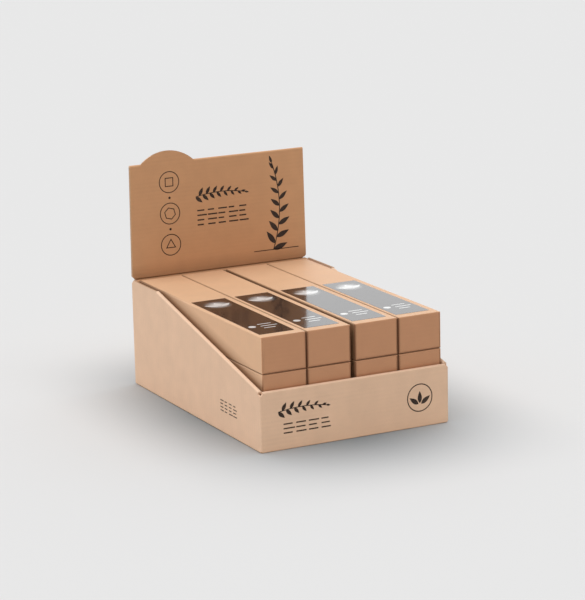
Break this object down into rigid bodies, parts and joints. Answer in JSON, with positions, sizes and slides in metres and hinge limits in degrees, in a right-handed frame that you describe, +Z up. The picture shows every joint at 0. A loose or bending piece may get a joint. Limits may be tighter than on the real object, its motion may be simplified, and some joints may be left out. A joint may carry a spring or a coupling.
{
  "type": "display box",
  "caption": "Corrugated counter display tray with sloping rolled-over sides, a low front and a tall header panel, filled with long sealed packs that carry film labels.",
  "frame": {"origin": "middle of the underside, on the surface that the box stands on", "axes": "+Z up, the low front faces -Y, the header stands at +Y, +X is the right side seen from the front"},
  "size_m": [0.304, 0.438, 0.3595],
  "materials": {
    "tray_board": "brown kraft corrugated board, matt",
    "pack_card": "brown kraft card, matt",
    "label_film": "dark brown printed film, glossy"
  },
  "bodies": {
    "root": {"display_tray": "tray_board", "pack_low_1": "pack_card", "pack_low_2": "pack_card", "pack_low_3": "pack_card", "pack_low_4": "pack_card", "pack_mid_1": "pack_card", "pack_mid_2": "pack_card", "pack_mid_3": "pack_card", "pack_mid_4": "pack_card", "pack_top_1": "pack_card", "pack_top_2": "pack_card", "pack_top_3": "pack_card", "pack_top_4": "pack_card", "label_low_1": "label_film", "label_low_2": "label_film", "label_low_3": "label_film", "label_low_4": "label_film", "label_mid_1": "label_film", "label_mid_2": "label_film", "label_mid_3": "label_film", "label_mid_4": "label_film", "label_top_1": "label_film", "label_top_2": "label_film", "label_top_3": "label_film", "label_top_4": "label_film"}
  },
  "joints": []
}
